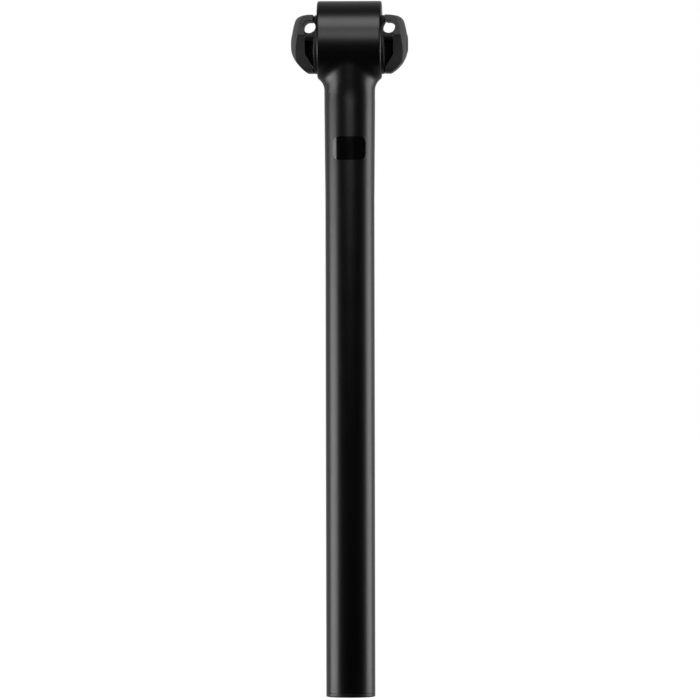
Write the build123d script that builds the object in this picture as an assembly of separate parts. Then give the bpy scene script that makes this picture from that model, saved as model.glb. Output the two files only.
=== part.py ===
from build123d import *
from math import acos, asin, cos, degrees, radians, sin, sqrt, tan
import os

# Rigid bicycle seatpost: a round moulded post with a barrel head lying across its top, and a
# single-bolt side clamp that holds the two saddle rails.
# Millimetres. X runs along the clamp bolt, Y fore and aft, Z up the post. The origin is the
# centre of the foot of the post.

# ---- driving dimensions ------------------------------------------------------------------
# post
TUBE_R = 13.6               # 27.2 mm seat tube size
TUBE_WALL = 2.5
STRAIGHT_TOP = 275.0        # above this height the post swells slightly
NECK_R = 14.05
POST_TOP = 385.3

# barrel head
BARREL_R = 20.8
BARREL_Z = POST_TOP - BARREL_R
BARREL_HALF_WIDTH = 17.85
BARREL_EDGE_R = 1.2
FLANK_ANGLE = 8.0           # slope of the neck's front and back where it meets the barrel
FLANK_TOP_Z = 352.0         # height at which that slope reaches the barrel's surface
NECK_BLEND_R = 40.0         # concave arc that brings the slope back to the tube
NECK_BURIED = 0.15          # the slope stays this far inside the barrel where they cross
NECK_ROUND_LENGTH = 3.0     # round part of the neck below the arc
BARREL_BLEND_R = 8.0        # concave fillet all round the foot of the barrel
CAVITY_TOP = 343.0

# clamp bolt axis and the bore through the head
AXIS_Z = 361.2
BORE_R = 13.5
BOND_GAP = 0.05             # glue line around bonded inserts
RUN_GAP = 0.05              # clearance between faces that turn on each other

# inserts bonded in the bore
INSERT_R = BORE_R - BOND_GAP
SLEEVE_WALL = 1.0
SLEEVE_HALF_LENGTH = 11.8
RING_INNER_X = 11.9
RING_OUTER_X = 16.85
TAPER_SMALL_R = 10.2        # cone radius at RING_INNER_X
TAPER_ANGLE = 19.0
SEAL_R = 12.75              # dust seal in the corner outside each taper ring
SEAL_SECTION_R = 0.45

# saddle rails
RAIL_X = 22.0               # rails stand 44 mm apart
RAIL_RISE = 9.2             # rail centre above the bolt axis
GROOVE_R = 3.55             # for a 7 mm rail

# inner clamps
FLANGE_R = 16.3
FLANGE_INNER_X = BARREL_HALF_WIDTH + RUN_GAP
FLANGE_OUTER_X = 19.5
INNER_FACE_X = 24.2         # outermost face of an inner clamp
FLANGE_CHAMFER = 0.3
SEAT_HALF_LENGTH = 16.5
SEAT_INNER_X = 18.9         # the rail seat starts part-way into the flange
SEAT_CORNER_R = 3.0
SEAT_BOTTOM = 1.2           # heights above the bolt axis
SEAT_TOP = 6.7
HUB_LARGE_R = 13.6          # cone under the rail seat
HUB_SMALL_R = 6.2
NOSE_R = 9.9
NOSE_X = 6.5
NOSE_STEP = 0.1             # length of the step from the nose to the cone
SOCKET_X = 10.5

# hexagonal tube that makes both inner clamps tilt together
KEY_TUBE_FLATS = 11.0
KEY_TUBE_BORE_R = 4.2
KEY_TUBE_HALF_LENGTH = 10.3

# outer clamps
DOME_R = 42.0
DOME_X = 32.2               # crown of the dome
HOOK_HALF_LENGTH = 17.0
HOOK_TIP_X = 19.8
HOOK_TOP = 15.8
HOOK_TIP_UNDERSIDE = 13.3
HOOK_BOTTOM = 4.7           # the hook block is longer than the tapered leg below it
HOOK_CORNER_R = 4.9
LEG_TOP_HALF_LENGTH = 16.2
LEG_FOOT_HALF_LENGTH = 9.0
LEG_CORNER_R = 5.0
LEG_INNER_X = 24.4
LEG_BEND = -6.0             # below this the leg leans in towards the post
HEEL_TOP = -13.3
HEEL_BOTTOM = -16.0
HEEL_OUTER_X = 22.9
HOOK_ARC_END = 104.0        # where the groove's arc runs out towards the tip
DOME_EDGE_R = 0.8
HEEL_ARC_TOP = (32.6, -3.0)  # the leg's outer face below the hook, curving in to the heel
HEEL_ARC_MIDDLE = (29.6, -9.6)
SEAT_X = 27.4               # bottom of the pocket for the washer or the nut
POCKET_R = 5.7
BEYOND = 40.0               # far outside the part
SAME_PLACE = 0.01

# bolt, washer and nut, M7 thread
BOLT_R = 3.5
BOLT_HOLE_R = 3.7
THREAD_GAP = 0.05
HEAD_R = 5.2
CROWN_RISE = 0.6            # bulge of the bolt head's and the nut's outer ends
BOLT_CHAMFER = 0.5
HEAD_CROWN_X = 32.6
WASHER_R = 5.3
WASHER_THICKNESS = 1.2
FACE_GAP = 0.05
BOLT_TIP_X = 31.6
HEX_FLATS = 5.0
HEX_DEPTH = 2.9
NUT_SHANK_R = 4.6
NUT_INNER_X = 24.5
NUT_HEAD_R = 5.6
NUT_FLAT = 4.4              # distance from the bolt axis to the flat that stops the nut turning

# key pins between each inner and outer clamp
PIN_R = 1.5
PIN_Y = 11.0
PIN_RISE = 3.8
PIN_INNER_X = 20.6
PIN_OUTER_X = 27.8
PIN_SLIDE_GAP = 0.04        # where the outer clamp slides on the pins
PIN_FIT_GAP = 0.01          # where the pins are fixed in the inner clamp
PIN_END_GAP = 0.15

# end plug
PLUG_RIM_R = 13.58
PLUG_RIM_HEIGHT = 2.1
PLUG_RIM_FILLET = 0.7
PLUG_R = 10.95
PLUG_TOP = 13.0
PLUG_WALL = 2.8
PLUG_SEAL_Z = 7.6
PLUG_SEAL_R = 10.35
PLUG_SEAL_SECTION_R = 0.65
PLUG_GROOVE_HEIGHT = 1.5

LEFT = -1
RIGHT = 1


# ---- helpers -----------------------------------------------------------------------------
def cross_cylinder(radius, x_from, x_to, y=0.0, rise=0.0):
    """Cylinder along X at a height above the bolt axis."""
    length = x_to - x_from
    place = Location((x_from + length / 2, y, AXIS_Z + rise), (0, 90, 0))
    return place * Cylinder(radius, length)


def turned(points):
    """Solid turned about the bolt axis from (x, radius) points."""
    outline = Polyline(*[(x, 0, r) for x, r in points], close=True)
    return Pos(0, 0, AXIS_Z) * revolve(make_face(outline), Axis.X, 360)


def crowned(radius, inner_x, crown_x):
    """Round head turned about the bolt axis, with a shallow ball-shaped end."""
    edge_x = crown_x - CROWN_RISE
    ball_r = (radius**2 + CROWN_RISE**2) / (2 * CROWN_RISE)
    half_way = asin(radius / ball_r) / 2
    arc_point = (crown_x - ball_r * (1 - cos(half_way)), 0, ball_r * sin(half_way))
    side = Polyline((crown_x, 0, 0), (inner_x, 0, 0), (inner_x, 0, radius), (edge_x, 0, radius))
    crown = ThreePointArc((edge_x, 0, radius), arc_point, (crown_x, 0, 0))
    return Pos(0, 0, AXIS_Z) * revolve(make_face(side + crown), Axis.X, 360)


def hex_bar(flats, x_from, x_to):
    profile = Plane.YZ.offset(x_from) * RegularPolygon(flats / 2, 6, major_radius=False)
    return Pos(0, 0, AXIS_Z) * extrude(profile, x_to - x_from)


def dome(radius, crown_x):
    """Ball whose surface crosses the X axis at crown_x, with its seam on the far side."""
    return Location((crown_x - radius, 0, 0), (0, 0, 180)) * Sphere(radius)


def on_side(part, side):
    """The right-hand part itself, or its mirror image for the left side."""
    return part if side == RIGHT else mirror(part, Plane.YZ)


# ---- post --------------------------------------------------------------------------------
FLANK_SLOPE = tan(radians(FLANK_ANGLE))
FLANK_TOP_Y = sqrt(BARREL_R**2 - (BARREL_Z - FLANK_TOP_Z)**2) - NECK_BURIED
FLANK_FOOT_Z = FLANK_TOP_Z - (FLANK_TOP_Y - NECK_R) / FLANK_SLOPE
BLEND_TANGENT = NECK_BLEND_R * tan(radians(FLANK_ANGLE / 2))
BLEND_BOTTOM = FLANK_FOOT_Z - BLEND_TANGENT
BLEND_TOP = FLANK_FOOT_Z + BLEND_TANGENT * cos(radians(FLANK_ANGLE))
NECK_FOOT = BLEND_BOTTOM - NECK_ROUND_LENGTH
NECK_SECTIONS = 11


def neck_half_depth(z):
    """Half the neck's fore-and-aft depth: round tube, concave arc, sloping flank."""
    if z >= BLEND_TOP:
        return FLANK_TOP_Y - (FLANK_TOP_Z - z) * FLANK_SLOPE
    if z >= BLEND_BOTTOM:
        return NECK_R + NECK_BLEND_R - sqrt(NECK_BLEND_R**2 - (z - BLEND_BOTTOM)**2)
    return NECK_R


def neck_section(z):
    return Location((0, 0, z), (0, 0, 90)) * Ellipse(neck_half_depth(z), NECK_R)


def neck():
    """Loft of ovals from the round tube up into the barrel, no wider than the tube."""
    rise = BARREL_Z - NECK_FOOT
    heights = [NECK_FOOT + rise * i / (NECK_SECTIONS - 1) for i in range(NECK_SECTIONS)]
    return loft([neck_section(z) for z in heights])


def on_barrel_end(edge):
    return abs(abs(edge.center().X) - BARREL_HALF_WIDTH) < SAME_PLACE


def at_neck_top(edge):
    box = edge.bounding_box()
    between = NECK_FOOT + SAME_PLACE < box.min.Z and box.max.Z < BARREL_Z
    return between and abs(edge.center().X) < NECK_R


def head():
    """Barrel lying across the neck, blended into it and cut to width afterwards."""
    barrel = Location((0, 0, BARREL_Z), (0, 90, 0)) * Cylinder(BARREL_R, 2 * BEYOND)
    body = neck() + barrel
    body = fillet(body.edges().filter_by(at_neck_top), BARREL_BLEND_R)
    body &= Pos(0, 0, BARREL_Z) * Box(2 * BARREL_HALF_WIDTH, 2 * BEYOND, 4 * BEYOND)
    return fillet(body.edges().filter_by(on_barrel_end), BARREL_EDGE_R)


def cavity():
    """Hollow of the tube, closed by a half-round end below the bore."""
    inner_r = TUBE_R - TUBE_WALL
    height = CAVITY_TOP - inner_r
    straight = Pos(0, 0, height / 2) * Cylinder(inner_r, height)
    return straight + Pos(0, 0, height) * Sphere(inner_r)


def post_shell():
    tube_foot = PLUG_RIM_HEIGHT + FACE_GAP
    outline = Polyline(
        (0, 0, tube_foot),
        (TUBE_R, 0, tube_foot),
        (TUBE_R, 0, STRAIGHT_TOP),
        (NECK_R, 0, NECK_FOOT),
        (0, 0, NECK_FOOT),
        close=True,
    )
    shell = revolve(make_face(outline), Axis.Z, 360) + head()
    shell -= cavity()
    shell -= cross_cylinder(BORE_R, -BEYOND, BEYOND)
    return shell


# ---- bonded inserts ----------------------------------------------------------------------
def bore_sleeve():
    tube = cross_cylinder(INSERT_R, -SLEEVE_HALF_LENGTH, SLEEVE_HALF_LENGTH)
    return tube - cross_cylinder(INSERT_R - SLEEVE_WALL, -BEYOND, BEYOND)


def taper_r(x):
    return TAPER_SMALL_R + (x - RING_INNER_X) * tan(radians(TAPER_ANGLE))


def taper_ring(side):
    ring = turned([
        (RING_INNER_X, taper_r(RING_INNER_X)),
        (RING_INNER_X, INSERT_R),
        (RING_OUTER_X, INSERT_R),
        (RING_OUTER_X, taper_r(RING_OUTER_X)),
    ])
    return on_side(ring, side)


def dust_seal(side):
    middle_x = (RING_OUTER_X + FLANGE_INNER_X) / 2
    place = Location((middle_x, 0, AXIS_Z), (0, 90, 0))
    return on_side(place * Torus(SEAL_R, SEAL_SECTION_R), side)


# ---- inner clamps ------------------------------------------------------------------------
def rail_space():
    groove = Location((RAIL_X, 0, AXIS_Z + RAIL_RISE), (90, 0, 0))
    return groove * Cylinder(GROOVE_R, 2 * BEYOND)


def pin_places():
    return [(y, PIN_RISE) for y in (-PIN_Y, PIN_Y)]


def inner_clamp(side):
    cone_gap = RUN_GAP / cos(radians(TAPER_ANGLE))
    clamp = turned([
        (NOSE_X, 0),
        (NOSE_X, NOSE_R),
        (RING_INNER_X - NOSE_STEP, NOSE_R),
        (RING_INNER_X, taper_r(RING_INNER_X) - cone_gap),
        (FLANGE_INNER_X, taper_r(FLANGE_INNER_X) - cone_gap),
        (FLANGE_INNER_X, FLANGE_R),
        (FLANGE_OUTER_X - FLANGE_CHAMFER, FLANGE_R),
        (FLANGE_OUTER_X, FLANGE_R - FLANGE_CHAMFER),
        (FLANGE_OUTER_X, HUB_LARGE_R),
        (INNER_FACE_X, HUB_SMALL_R),
        (INNER_FACE_X, 0),
    ])
    seat = Box(INNER_FACE_X - SEAT_INNER_X, 2 * SEAT_HALF_LENGTH, SEAT_TOP - SEAT_BOTTOM)
    lower_edges = seat.edges().filter_by(Axis.X).group_by(Axis.Z)[0]
    seat = fillet(lower_edges, SEAT_CORNER_R)
    seat_x = (SEAT_INNER_X + INNER_FACE_X) / 2
    clamp += Pos(seat_x, 0, AXIS_Z + (SEAT_TOP + SEAT_BOTTOM) / 2) * seat
    clamp -= rail_space()
    clamp -= cross_cylinder(BOLT_HOLE_R, 0, BEYOND)
    clamp -= hex_bar(KEY_TUBE_FLATS + 2 * PIN_SLIDE_GAP, 0, SOCKET_X)
    for y, rise in pin_places():
        clamp -= cross_cylinder(PIN_R + PIN_FIT_GAP, PIN_INNER_X - PIN_END_GAP, BEYOND, y, rise)
    return on_side(clamp, side)


def alignment_tube():
    tube = hex_bar(KEY_TUBE_FLATS, -KEY_TUBE_HALF_LENGTH, KEY_TUBE_HALF_LENGTH)
    return tube - cross_cylinder(KEY_TUBE_BORE_R, -BEYOND, BEYOND)


def key_pins():
    pins = []
    for side in (LEFT, RIGHT):
        for y, rise in pin_places():
            pin = cross_cylinder(PIN_R, PIN_INNER_X, PIN_OUTER_X, y, rise)
            pins.append(on_side(pin, side))
    return Compound(children=pins)


# ---- outer clamps ------------------------------------------------------------------------
def clamp_profile():
    """Section across the rail: hook over it, straight leg, leaning foot and heel."""
    leg_angle = -degrees(acos((LEG_INNER_X - RAIL_X) / GROOVE_R))
    groove = CenterArc(
        (RAIL_X, RAIL_RISE), GROOVE_R, leg_angle, HOOK_ARC_END - leg_angle
    )
    hook = Polyline(
        groove @ 1,
        (HOOK_TIP_X, HOOK_TIP_UNDERSIDE),
        (HOOK_TIP_X, HOOK_TOP),
        (BEYOND, HOOK_TOP),
        (BEYOND, HEEL_ARC_TOP[1]),
        HEEL_ARC_TOP,
    )
    outer_face = ThreePointArc(HEEL_ARC_TOP, HEEL_ARC_MIDDLE, (HEEL_OUTER_X, HEEL_BOTTOM))
    inner_face = Polyline(
        (HEEL_OUTER_X, HEEL_BOTTOM),
        (HOOK_TIP_X, HEEL_BOTTOM),
        (HOOK_TIP_X, HEEL_TOP),
        (LEG_INNER_X, LEG_BEND),
        groove @ 0,
    )
    return make_face(groove + hook + outer_face + inner_face)


def side_outline():
    """The clamp seen along the bolt: a long hook block on top of a leg that tapers downwards."""
    hook_height = HOOK_TOP - HOOK_BOTTOM
    hook = Pos(0, HOOK_BOTTOM + hook_height / 2) * Rectangle(2 * HOOK_HALF_LENGTH, hook_height)
    leg_corners = Polyline(
        (-LEG_FOOT_HALF_LENGTH, HEEL_BOTTOM),
        (LEG_FOOT_HALF_LENGTH, HEEL_BOTTOM),
        (LEG_TOP_HALF_LENGTH, HOOK_BOTTOM),
        (-LEG_TOP_HALF_LENGTH, HOOK_BOTTOM),
        close=True,
    )
    leg = make_face(leg_corners)
    leg = fillet(leg.vertices().group_by(Axis.Y)[0], LEG_CORNER_R)
    return hook + leg


def clamp_pocket(side):
    """Pocket for the washer, or for the nut with its flat, and the hole below it."""
    pocket = cross_cylinder(POCKET_R, SEAT_X, BEYOND)
    hole = cross_cylinder(BOLT_HOLE_R, 0, BEYOND)
    if side == RIGHT:
        pocket &= nut_key_space(NUT_FLAT + PIN_SLIDE_GAP)
        hole = cross_cylinder(NUT_SHANK_R + PIN_SLIDE_GAP, 0, BEYOND)
    return pocket + hole


def dome_edges(body):
    """Edges of the domed face, lowest first."""
    return body.faces().filter_by(GeomType.SPHERE)[0].edges().sort_by(Axis.Z)


def outer_clamp(side):
    section = Plane.XZ.offset(-BEYOND / 2) * clamp_profile()
    body = extrude(section, BEYOND)
    body &= dome(DOME_R, DOME_X)
    body = fillet(dome_edges(body)[-1], HOOK_CORNER_R)
    body &= extrude(Plane.YZ * side_outline(), BEYOND)
    body = fillet(dome_edges(body)[:-1], DOME_EDGE_R)
    body = Pos(0, 0, AXIS_Z) * body
    body -= clamp_pocket(side)
    for y, rise in pin_places():
        body -= cross_cylinder(PIN_R + PIN_SLIDE_GAP, 0, PIN_OUTER_X + PIN_END_GAP, y, rise)
    return on_side(body, side)


# ---- bolt, washer, nut -------------------------------------------------------------------
def nut_key_space(flat):
    """Everything above the flat that keeps the nut from turning."""
    return Pos(0, 0, AXIS_Z - flat + BEYOND / 2) * Box(2 * BEYOND, BEYOND, BEYOND)


def clamp_bolt():
    head_inner_x = SEAT_X + WASHER_THICKNESS + 2 * FACE_GAP
    head = crowned(HEAD_R, head_inner_x, HEAD_CROWN_X)
    head -= hex_bar(HEX_FLATS, HEAD_CROWN_X - HEX_DEPTH, BEYOND)
    shank = cross_cylinder(BOLT_R, -BOLT_TIP_X, head_inner_x)
    shank = chamfer(shank.edges().filter_by(GeomType.CIRCLE).sort_by(Axis.X)[0], BOLT_CHAMFER)
    return mirror(head + shank, Plane.YZ)


def bolt_washer():
    inner_x = SEAT_X + FACE_GAP
    disc = cross_cylinder(WASHER_R, inner_x, inner_x + WASHER_THICKNESS)
    disc -= cross_cylinder(BOLT_HOLE_R, 0, BEYOND)
    return mirror(disc, Plane.YZ)


def clamp_nut():
    head = crowned(NUT_HEAD_R, SEAT_X + FACE_GAP, HEAD_CROWN_X)
    head &= nut_key_space(NUT_FLAT)
    nut = head + cross_cylinder(NUT_SHANK_R, NUT_INNER_X, SEAT_X + FACE_GAP)
    return nut - cross_cylinder(BOLT_R + THREAD_GAP, 0, BEYOND)


# ---- end plug ----------------------------------------------------------------------------
def end_plug():
    rim = Pos(0, 0, PLUG_RIM_HEIGHT / 2) * Cylinder(PLUG_RIM_R, PLUG_RIM_HEIGHT)
    rim = fillet(rim.edges().filter_by(GeomType.CIRCLE).sort_by(Axis.Z)[0], PLUG_RIM_FILLET)
    body = Pos(0, 0, PLUG_TOP / 2) * Cylinder(PLUG_R, PLUG_TOP)
    hollow = Pos(0, 0, PLUG_TOP / 2 + PLUG_RIM_HEIGHT) * Cylinder(PLUG_R - PLUG_WALL, PLUG_TOP)
    groove_floor_r = PLUG_SEAL_R - PLUG_SEAL_SECTION_R - BOND_GAP
    groove = Cylinder(BEYOND, PLUG_GROOVE_HEIGHT) - Cylinder(groove_floor_r, PLUG_GROOVE_HEIGHT)
    return rim + body - hollow - Pos(0, 0, PLUG_SEAL_Z) * groove


def plug_seal():
    return Pos(0, 0, PLUG_SEAL_Z) * Torus(PLUG_SEAL_R, PLUG_SEAL_SECTION_R)


# ---- one file per piece ------------------------------------------------------------------
PIECES = {
    "post_shell": post_shell(),
    "bore_sleeve": bore_sleeve(),
    "left_taper_ring": taper_ring(LEFT),
    "right_taper_ring": taper_ring(RIGHT),
    "left_dust_seal": dust_seal(LEFT),
    "right_dust_seal": dust_seal(RIGHT),
    "end_plug": end_plug(),
    "plug_seal": plug_seal(),
    "left_inner_clamp": inner_clamp(LEFT),
    "right_inner_clamp": inner_clamp(RIGHT),
    "alignment_tube": alignment_tube(),
    "key_pins": key_pins(),
    "left_outer_clamp": outer_clamp(LEFT),
    "right_outer_clamp": outer_clamp(RIGHT),
    "clamp_bolt": clamp_bolt(),
    "bolt_washer": bolt_washer(),
    "clamp_nut": clamp_nut(),
}

os.makedirs("parts", exist_ok=True)
for name, piece in PIECES.items():
    export_step(piece, f"parts/{name}.step")
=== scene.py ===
import math

import bpy
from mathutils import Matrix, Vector


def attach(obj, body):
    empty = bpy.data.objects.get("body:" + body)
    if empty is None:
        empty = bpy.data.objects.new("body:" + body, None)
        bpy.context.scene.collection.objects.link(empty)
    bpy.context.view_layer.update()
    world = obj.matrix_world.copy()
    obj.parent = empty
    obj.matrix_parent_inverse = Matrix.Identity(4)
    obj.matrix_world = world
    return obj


# Looks of a rigid bicycle seatpost: satin black moulded shell, bead-blasted black clamps, dark
# steel bolt. Metres, in the CAD frame: X along the clamp bolt, Y fore and aft, Z up.

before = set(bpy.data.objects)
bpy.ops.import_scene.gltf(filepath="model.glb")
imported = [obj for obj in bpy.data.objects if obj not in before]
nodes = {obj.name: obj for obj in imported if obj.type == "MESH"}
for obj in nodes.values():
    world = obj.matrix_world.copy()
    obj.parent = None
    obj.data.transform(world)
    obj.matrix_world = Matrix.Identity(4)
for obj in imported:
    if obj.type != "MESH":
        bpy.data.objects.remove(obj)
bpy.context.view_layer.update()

MM = 0.001

# ---- camera ------------------------------------------------------------------------------
CAMERA_DISTANCE = 3.5
VIEW_HEIGHT = 0.3878        # height of the view where the post stands
VIEW_MIDDLE = 0.192
VIEW_AZIMUTH = math.radians(1.8)    # the view is turned slightly towards the nut's side
VIEW_ROLL = math.radians(0.11)      # and leans a little, so the head stands left of the foot
VIEW_SHIFT = -0.0003                # share of the picture's width
SENSOR = 36.0
CAMERA_REACH = 30.0

# ---- lights: azimuth in degrees round the post from its front, power in watts ------------
FADE_START = -0.1           # the room brightens between these shares of facing the wall behind
FADE_END = 1.0
ROOM_FRONT = 0.006          # light from the dark side of the room, behind the camera
ROOM_BACK = 0.55            # light from the white wall behind the post
LEFT_LAMP = {"azimuth": -83, "distance": 0.8, "height": 0.10, "size": (0.58, 0.5), "power": 4.5}
RIGHT_LAMP = {"azimuth": 100, "distance": 0.8, "height": 0.15, "size": (0.48, 0.6), "power": 3.4}
TOP_LAMP = {"azimuth": 0, "distance": 0.45, "height": 0.89, "size": (0.45, 0.40), "power": 2.2}
STRIP_LAMP = {"azimuth": 2, "distance": 0.4, "height": 0.44, "size": (0.22, 0.18), "power": 0.34}
LAMP_TARGETS = {"low": 0.15, "head": 0.36, "neck": 0.33}

# ---- floor -------------------------------------------------------------------------------
FLOOR_HALF = 6.0
FLOOR_GLOW = 1.08
FLOOR_GLOW_SHARE = 0.93     # the rest is paper lit by the lamps

# ---- surfaces ----------------------------------------------------------------------------
SHARP_EDGE = math.radians(35)
BEVEL_SAMPLES = 4
ALONG_TUBE = (1.0, 1.0, 0.02)       # noise stretched into streaks up the tube
LATHE_RINGS = (3.0, 0.2, 0.2)       # noise squeezed into rings round the bolt axis
TURNING_MARKS = (4.0, 0.5, 0.5)

# ---- gloss panel on the front of the tube ------------------------------------------------
TUBE_R = 13.6 * MM
NECK_R = 14.05 * MM
SWELL_BOTTOM = 275.0 * MM   # the tube swells from TUBE_R to NECK_R between these heights
SWELL_TOP = 327.5 * MM
PANEL_BOTTOM = 297.0 * MM
PANEL_TOP = 310.0 * MM
PANEL_HALF_ANGLE = math.radians(41)
PANEL_CORNER = 4.0 * MM
PANEL_PROUD = 0.05 * MM
PANEL_SUNK = 0.15 * MM
PANEL_ROWS = 40
PANEL_COLUMNS = 48


# ---- node helpers ------------------------------------------------------------------------
def new_material(name):
    material = bpy.data.materials.new(name)
    material.use_nodes = True
    tree = material.node_tree
    return material, tree, tree.nodes["Principled BSDF"]


def noise(tree, scale, stretch=(1, 1, 1), detail=4.0, roughness=0.6):
    """Noise in the piece's own coordinates; scale counts blobs to a metre."""
    coordinates = tree.nodes.new("ShaderNodeTexCoord")
    mapping = tree.nodes.new("ShaderNodeMapping")
    mapping.inputs["Scale"].default_value = stretch
    texture = tree.nodes.new("ShaderNodeTexNoise")
    texture.inputs["Scale"].default_value = scale
    texture.inputs["Detail"].default_value = detail
    texture.inputs["Roughness"].default_value = roughness
    tree.links.new(coordinates.outputs["Object"], mapping.inputs["Vector"])
    tree.links.new(mapping.outputs["Vector"], texture.inputs["Vector"])
    return texture.outputs["Fac"]


def grey(level):
    return (level, level, level, 1)


def ramp(tree, value, low, high, start=0.3, end=0.7):
    """Maps a 0 to 1 value onto a range of greys."""
    node = tree.nodes.new("ShaderNodeValToRGB")
    node.color_ramp.elements[0].position = start
    node.color_ramp.elements[0].color = grey(low)
    node.color_ramp.elements[1].position = end
    node.color_ramp.elements[1].color = grey(high)
    tree.links.new(value, node.inputs["Fac"])
    return node.outputs["Color"]


def maths(tree, operation, one, other):
    node = tree.nodes.new("ShaderNodeMath")
    node.operation = operation
    for socket, value in zip(node.inputs, (one, other)):
        if isinstance(value, (int, float)):
            socket.default_value = value
        else:
            tree.links.new(value, socket)
    return node.outputs["Value"]


def bump(tree, value, depth, under=None):
    node = tree.nodes.new("ShaderNodeBump")
    node.inputs["Distance"].default_value = depth
    tree.links.new(value, node.inputs["Height"])
    if under is not None:
        tree.links.new(under, node.inputs["Normal"])
    return node.outputs["Normal"]


def rounded(tree, radius):
    """Normals that roll over the edges as if they were rounded."""
    node = tree.nodes.new("ShaderNodeBevel")
    node.samples = BEVEL_SAMPLES
    node.inputs["Radius"].default_value = radius
    return node.outputs["Normal"]


def edge_wear(tree, normal, patches):
    """Near 1 along edges where the noise lets it through, 0 on open faces."""
    geometry = tree.nodes.new("ShaderNodeNewGeometry")
    dot = tree.nodes.new("ShaderNodeVectorMath")
    dot.operation = "DOT_PRODUCT"
    tree.links.new(normal, dot.inputs[0])
    tree.links.new(geometry.outputs["Normal"], dot.inputs[1])
    edge = ramp(tree, dot.outputs["Value"], low=1.0, high=0.0, start=0.80, end=0.99)
    rubbed = ramp(tree, patches, low=0.1, high=1.0, start=0.35, end=0.65)
    return maths(tree, "MULTIPLY", edge, rubbed)


def add_wear(tree, value, wear, amount):
    """Raises a value where the surface is worn."""
    return maths(tree, "ADD", value, maths(tree, "MULTIPLY", wear, amount))


def finish_surface(tree, shader, colour, roughness, normal, metallic=0.0):
    tree.links.new(colour, shader.inputs["Base Color"])
    tree.links.new(roughness, shader.inputs["Roughness"])
    tree.links.new(normal, shader.inputs["Normal"])
    shader.inputs["Metallic"].default_value = metallic


# ---- materials ---------------------------------------------------------------------------
def satin_shell():
    """Satin black moulding: fibre streaks up the tube under a matt lacquer, worn at its rims."""
    material, tree, shader = new_material("satin_shell")
    streaks = noise(tree, 900.0, ALONG_TUBE, detail=3.0)
    lacquer = noise(tree, 2600.0, detail=2.0)
    mottle = noise(tree, 60.0)
    edge_normal = rounded(tree, 0.5 * MM)
    wear = edge_wear(tree, edge_normal, mottle)
    colour = add_wear(tree, ramp(tree, streaks, low=0.0015, high=0.0035), wear, 0.02)
    roughness = add_wear(tree, ramp(tree, mottle, low=0.31, high=0.35), wear, 0.06)
    normal = bump(tree, lacquer, 0.004 * MM, bump(tree, streaks, 0.002 * MM, edge_normal))
    finish_surface(tree, shader, colour, roughness, normal)
    return material


def blasted_alloy(name, dark, light, rough_low, rough_high, worn):
    """Bead-blasted, anodised aluminium: fine even grain, rubbed lighter along its edges."""
    material, tree, shader = new_material(name)
    grain = noise(tree, 4200.0, detail=2.0)
    cloud = noise(tree, 150.0)
    edge_normal = rounded(tree, 0.25 * MM)
    wear = edge_wear(tree, edge_normal, noise(tree, 700.0))
    tone = ramp(tree, cloud, dark, light)
    speckle = maths(tree, "MULTIPLY", tone, ramp(tree, grain, low=0.75, high=1.25))
    colour = add_wear(tree, speckle, wear, worn)
    normal = bump(tree, grain, 0.02 * MM, edge_normal)
    roughness = ramp(tree, cloud, rough_low, rough_high)
    finish_surface(tree, shader, colour, roughness, normal, metallic=0.3)
    return material


def bare_alloy():
    """Turned aluminium with fine tool rings."""
    material, tree, shader = new_material("bare_alloy")
    rings = noise(tree, 1500.0, LATHE_RINGS)
    normal = bump(tree, rings, 0.01 * MM, rounded(tree, 0.15 * MM))
    colour = ramp(tree, rings, low=0.42, high=0.55)
    roughness = ramp(tree, rings, low=0.28, high=0.40)
    finish_surface(tree, shader, colour, roughness, normal, metallic=1.0)
    return material


def turned_steel(name, dark, light, worn):
    """Steel with fine turning marks and brighter rubbed edges."""
    material, tree, shader = new_material(name)
    marks = noise(tree, 1800.0, TURNING_MARKS)
    edge_normal = rounded(tree, 0.15 * MM)
    wear = edge_wear(tree, edge_normal, noise(tree, 900.0))
    colour = add_wear(tree, ramp(tree, marks, dark, light), wear, worn)
    normal = bump(tree, marks, 0.006 * MM, edge_normal)
    roughness = ramp(tree, marks, low=0.30, high=0.42)
    finish_surface(tree, shader, colour, roughness, normal, metallic=0.8)
    return material


def soft_black(name, level, rough_low, rough_high, grain_scale, depth):
    """Moulded nylon or rubber with a fine grain."""
    material, tree, shader = new_material(name)
    grain = noise(tree, grain_scale, detail=3.0)
    normal = bump(tree, grain, depth, rounded(tree, 0.2 * MM))
    colour = ramp(tree, grain, level, 1.5 * level)
    finish_surface(tree, shader, colour, ramp(tree, grain, rough_low, rough_high), normal)
    return material


def gloss_black():
    """Clear-coated black with the slight flow of a sprayed finish."""
    material, tree, shader = new_material("gloss_black")
    flow = noise(tree, 400.0)
    colour = ramp(tree, flow, low=0.002, high=0.003)
    roughness = ramp(tree, flow, low=0.10, high=0.16)
    finish_surface(tree, shader, colour, roughness, bump(tree, flow, 0.004 * MM))
    return material


# ---- finishing the CAD pieces ------------------------------------------------------------
def dress(names, material):
    for name in names:
        mesh = nodes[name].data
        mesh.materials.clear()
        mesh.materials.append(material)


def smooth(mesh):
    """Round faces shade smoothly and edges stay sharp."""
    for polygon in mesh.polygons:
        polygon.use_smooth = True
    mesh.set_sharp_from_angle(angle=SHARP_EDGE)


# ---- gloss panel -------------------------------------------------------------------------
def tube_radius(height):
    swell = (height - SWELL_BOTTOM) / (SWELL_TOP - SWELL_BOTTOM)
    return TUBE_R + (NECK_R - TUBE_R) * min(max(swell, 0.0), 1.0)


def panel_half_angle(height):
    """Half the panel's width as an angle round the tube, narrowed at its round corners."""
    from_end = min(height - PANEL_BOTTOM, PANEL_TOP - height)
    into_corner = max(PANEL_CORNER - from_end, 0.0)
    cut = PANEL_CORNER - math.sqrt(PANEL_CORNER**2 - min(into_corner, PANEL_CORNER)**2)
    return PANEL_HALF_ANGLE - cut / tube_radius(height)


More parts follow.
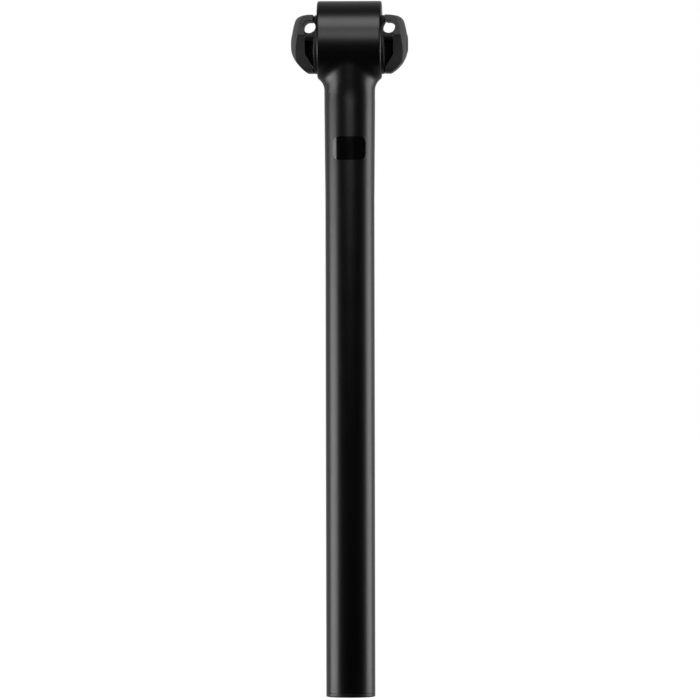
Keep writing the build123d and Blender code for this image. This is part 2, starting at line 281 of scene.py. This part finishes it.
def panel_layer(offset):
    """Grid of points over the panel at a distance outside the tube's surface."""
    points = []
    for row in range(PANEL_ROWS):
        # rows crowd towards both ends, where the corners curve
        share = (1 - math.cos(math.pi * row / (PANEL_ROWS - 1))) / 2
        height = PANEL_BOTTOM + (PANEL_TOP - PANEL_BOTTOM) * share
        radius = tube_radius(height) + offset
        half = panel_half_angle(height)
        for column in range(PANEL_COLUMNS):
            angle = half * (2 * column / (PANEL_COLUMNS - 1) - 1)
            points.append((radius * math.sin(angle), -radius * math.cos(angle), height))
    return points


def panel_faces():
    """The panel's outer and inner skins, then the strips that close its ends and its sides."""
    count = PANEL_ROWS * PANEL_COLUMNS
    faces = []
    for row in range(PANEL_ROWS - 1):
        for column in range(PANEL_COLUMNS - 1):
            # corners of one cell, anticlockwise from outside
            a = row * PANEL_COLUMNS + column
            b = a + 1
            c = b + PANEL_COLUMNS
            d = a + PANEL_COLUMNS
            faces.append((a, b, c, d))
            faces.append((d + count, c + count, b + count, a + count))
    last_row = (PANEL_ROWS - 1) * PANEL_COLUMNS
    for column in range(PANEL_COLUMNS - 1):
        a, b = column, column + 1
        faces.append((b, a, a + count, b + count))
        faces.append((last_row + a, last_row + b, last_row + b + count, last_row + a + count))
    for row in range(PANEL_ROWS - 1):
        a, b = row * PANEL_COLUMNS, (row + 1) * PANEL_COLUMNS
        faces.append((a, b, b + count, a + count))
        c, d = a + PANEL_COLUMNS - 1, b + PANEL_COLUMNS - 1
        faces.append((d, c, c + count, d + count))
    return faces


def gloss_panel():
    """Plain gloss panel with round corners, laid round the front of the tube."""
    points = panel_layer(PANEL_PROUD) + panel_layer(-PANEL_SUNK)
    mesh = bpy.data.meshes.new("gloss_panel")
    mesh.from_pydata(points, [], panel_faces())
    mesh.materials.append(gloss_black())
    smooth(mesh)
    obj = bpy.data.objects.new("gloss_panel", mesh)
    bpy.context.scene.collection.objects.link(obj)
    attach(obj, "post")


# ---- studio ------------------------------------------------------------------------------
def studio_world():
    """The camera sees plain white; the pieces see a white wall behind and a dark room in front."""
    world = bpy.data.worlds.new("studio")
    bpy.context.scene.world = world
    world.use_nodes = True
    tree = world.node_tree
    tree.nodes.clear()
    output = tree.nodes.new("ShaderNodeOutputWorld")
    choose = tree.nodes.new("ShaderNodeMixShader")
    path = tree.nodes.new("ShaderNodeLightPath")
    room = tree.nodes.new("ShaderNodeBackground")
    white = tree.nodes.new("ShaderNodeBackground")
    direction = tree.nodes.new("ShaderNodeTexCoord")
    split = tree.nodes.new("ShaderNodeSeparateXYZ")
    fade = tree.nodes.new("ShaderNodeMapRange")
    fade.inputs["From Min"].default_value = FADE_START
    fade.inputs["From Max"].default_value = FADE_END
    fade.inputs["To Min"].default_value = ROOM_FRONT
    fade.inputs["To Max"].default_value = ROOM_BACK
    white.inputs["Color"].default_value = grey(1)
    room.inputs["Color"].default_value = grey(1)
    tree.links.new(direction.outputs["Generated"], split.inputs["Vector"])
    tree.links.new(split.outputs["Y"], fade.inputs["Value"])
    tree.links.new(fade.outputs["Result"], room.inputs["Strength"])
    tree.links.new(path.outputs["Is Camera Ray"], choose.inputs["Fac"])
    tree.links.new(room.outputs["Background"], choose.inputs[1])
    tree.links.new(white.outputs["Background"], choose.inputs[2])
    tree.links.new(choose.outputs["Shader"], output.inputs["Surface"])


def softbox(name, azimuth, distance, height, size, power, target):
    """Rectangular lamp at an azimuth round the post, facing a height on its axis."""
    data = bpy.data.lights.new(name, "AREA")
    data.shape = "RECTANGLE"
    data.size, data.size_y = size
    data.energy = power
    turn = math.radians(azimuth)
    lamp = bpy.data.objects.new(name, data)
    lamp.location = (distance * math.sin(turn), -distance * math.cos(turn), height)
    aim = Vector((0, 0, LAMP_TARGETS[target])) - lamp.location
    lamp.rotation_euler = aim.to_track_quat("-Z", "Y").to_euler()
    lamp.visible_camera = False
    bpy.context.scene.collection.objects.link(lamp)


def pale_floor():
    """White paper that mostly glows, so the camera sees it evenly lit."""
    material, tree, shader = new_material("pale_floor")
    paper = noise(tree, 30.0)
    tree.links.new(ramp(tree, paper, low=0.86, high=0.90), shader.inputs["Base Color"])
    tree.links.new(bump(tree, noise(tree, 800.0), 0.05 * MM), shader.inputs["Normal"])
    shader.inputs["Roughness"].default_value = 0.8
    glow = tree.nodes.new("ShaderNodeEmission")
    blend = tree.nodes.new("ShaderNodeMixShader")
    blend.inputs["Fac"].default_value = FLOOR_GLOW_SHARE
    glow.inputs["Strength"].default_value = FLOOR_GLOW
    tree.links.new(shader.outputs["BSDF"], blend.inputs[1])
    tree.links.new(glow.outputs["Emission"], blend.inputs[2])
    tree.links.new(blend.outputs["Shader"], tree.nodes["Material Output"].inputs["Surface"])
    return material


def studio_floor():
    half = FLOOR_HALF
    mesh = bpy.data.meshes.new("studio_floor")
    corners = [(-half, -half, 0), (half, -half, 0), (half, half, 0), (-half, half, 0)]
    mesh.from_pydata(corners, [], [(0, 1, 2, 3)])
    mesh.materials.append(pale_floor())
    obj = bpy.data.objects.new("studio_floor", mesh)
    bpy.context.scene.collection.objects.link(obj)
    obj.visible_diffuse = False
    obj.visible_glossy = False
    obj.visible_shadow = False


def camera():
    data = bpy.data.cameras.new("view")
    data.sensor_width = SENSOR
    data.lens = SENSOR * CAMERA_DISTANCE / VIEW_HEIGHT
    data.clip_end = CAMERA_REACH
    data.shift_x = VIEW_SHIFT
    obj = bpy.data.objects.new("view", data)
    side, back = math.sin(VIEW_AZIMUTH), math.cos(VIEW_AZIMUTH)
    obj.location = (CAMERA_DISTANCE * side, -CAMERA_DISTANCE * back, VIEW_MIDDLE)
    obj.rotation_euler = (math.pi / 2, VIEW_ROLL, VIEW_AZIMUTH)
    bpy.context.scene.collection.objects.link(obj)
    bpy.context.scene.camera = obj


# ---- the object --------------------------------------------------------------------------
clamp_black = blasted_alloy("clamp_black", dark=0.045, light=0.062,
                            rough_low=0.48, rough_high=0.56, worn=0.06)
seat_black = blasted_alloy("seat_black", dark=0.008, light=0.013,
                           rough_low=0.45, rough_high=0.55, worn=0.03)
bolt_steel = turned_steel("bolt_steel", dark=0.03, light=0.06, worn=0.10)
pin_steel = turned_steel("pin_steel", dark=0.35, light=0.50, worn=0.10)
seal_rubber = soft_black("seal_rubber", level=0.012, rough_low=0.60, rough_high=0.75,
                         grain_scale=1500.0, depth=0.02 * MM)
black_nylon = soft_black("black_nylon", level=0.008, rough_low=0.35, rough_high=0.45,
                         grain_scale=1200.0, depth=0.01 * MM)

dress(["post_shell"], satin_shell())
dress(["left_outer_clamp", "right_outer_clamp", "clamp_nut"], clamp_black)
dress(["left_inner_clamp", "right_inner_clamp"], seat_black)
dress(["bore_sleeve", "left_taper_ring", "right_taper_ring", "alignment_tube"], bare_alloy())
dress(["clamp_bolt", "bolt_washer"], bolt_steel)
dress(["key_pins"], pin_steel)
dress(["left_dust_seal", "right_dust_seal", "plug_seal"], seal_rubber)
dress(["end_plug"], black_nylon)
for node in nodes.values():
    smooth(node.data)
gloss_panel()

# ---- the stage ---------------------------------------------------------------------------
studio_world()
studio_floor()
softbox("left_lamp", target="low", **LEFT_LAMP)
softbox("right_lamp", target="low", **RIGHT_LAMP)
softbox("top_lamp", target="head", **TOP_LAMP)
softbox("strip_lamp", target="neck", **STRIP_LAMP)
camera()
bpy.context.scene.view_settings.view_transform = "Standard"
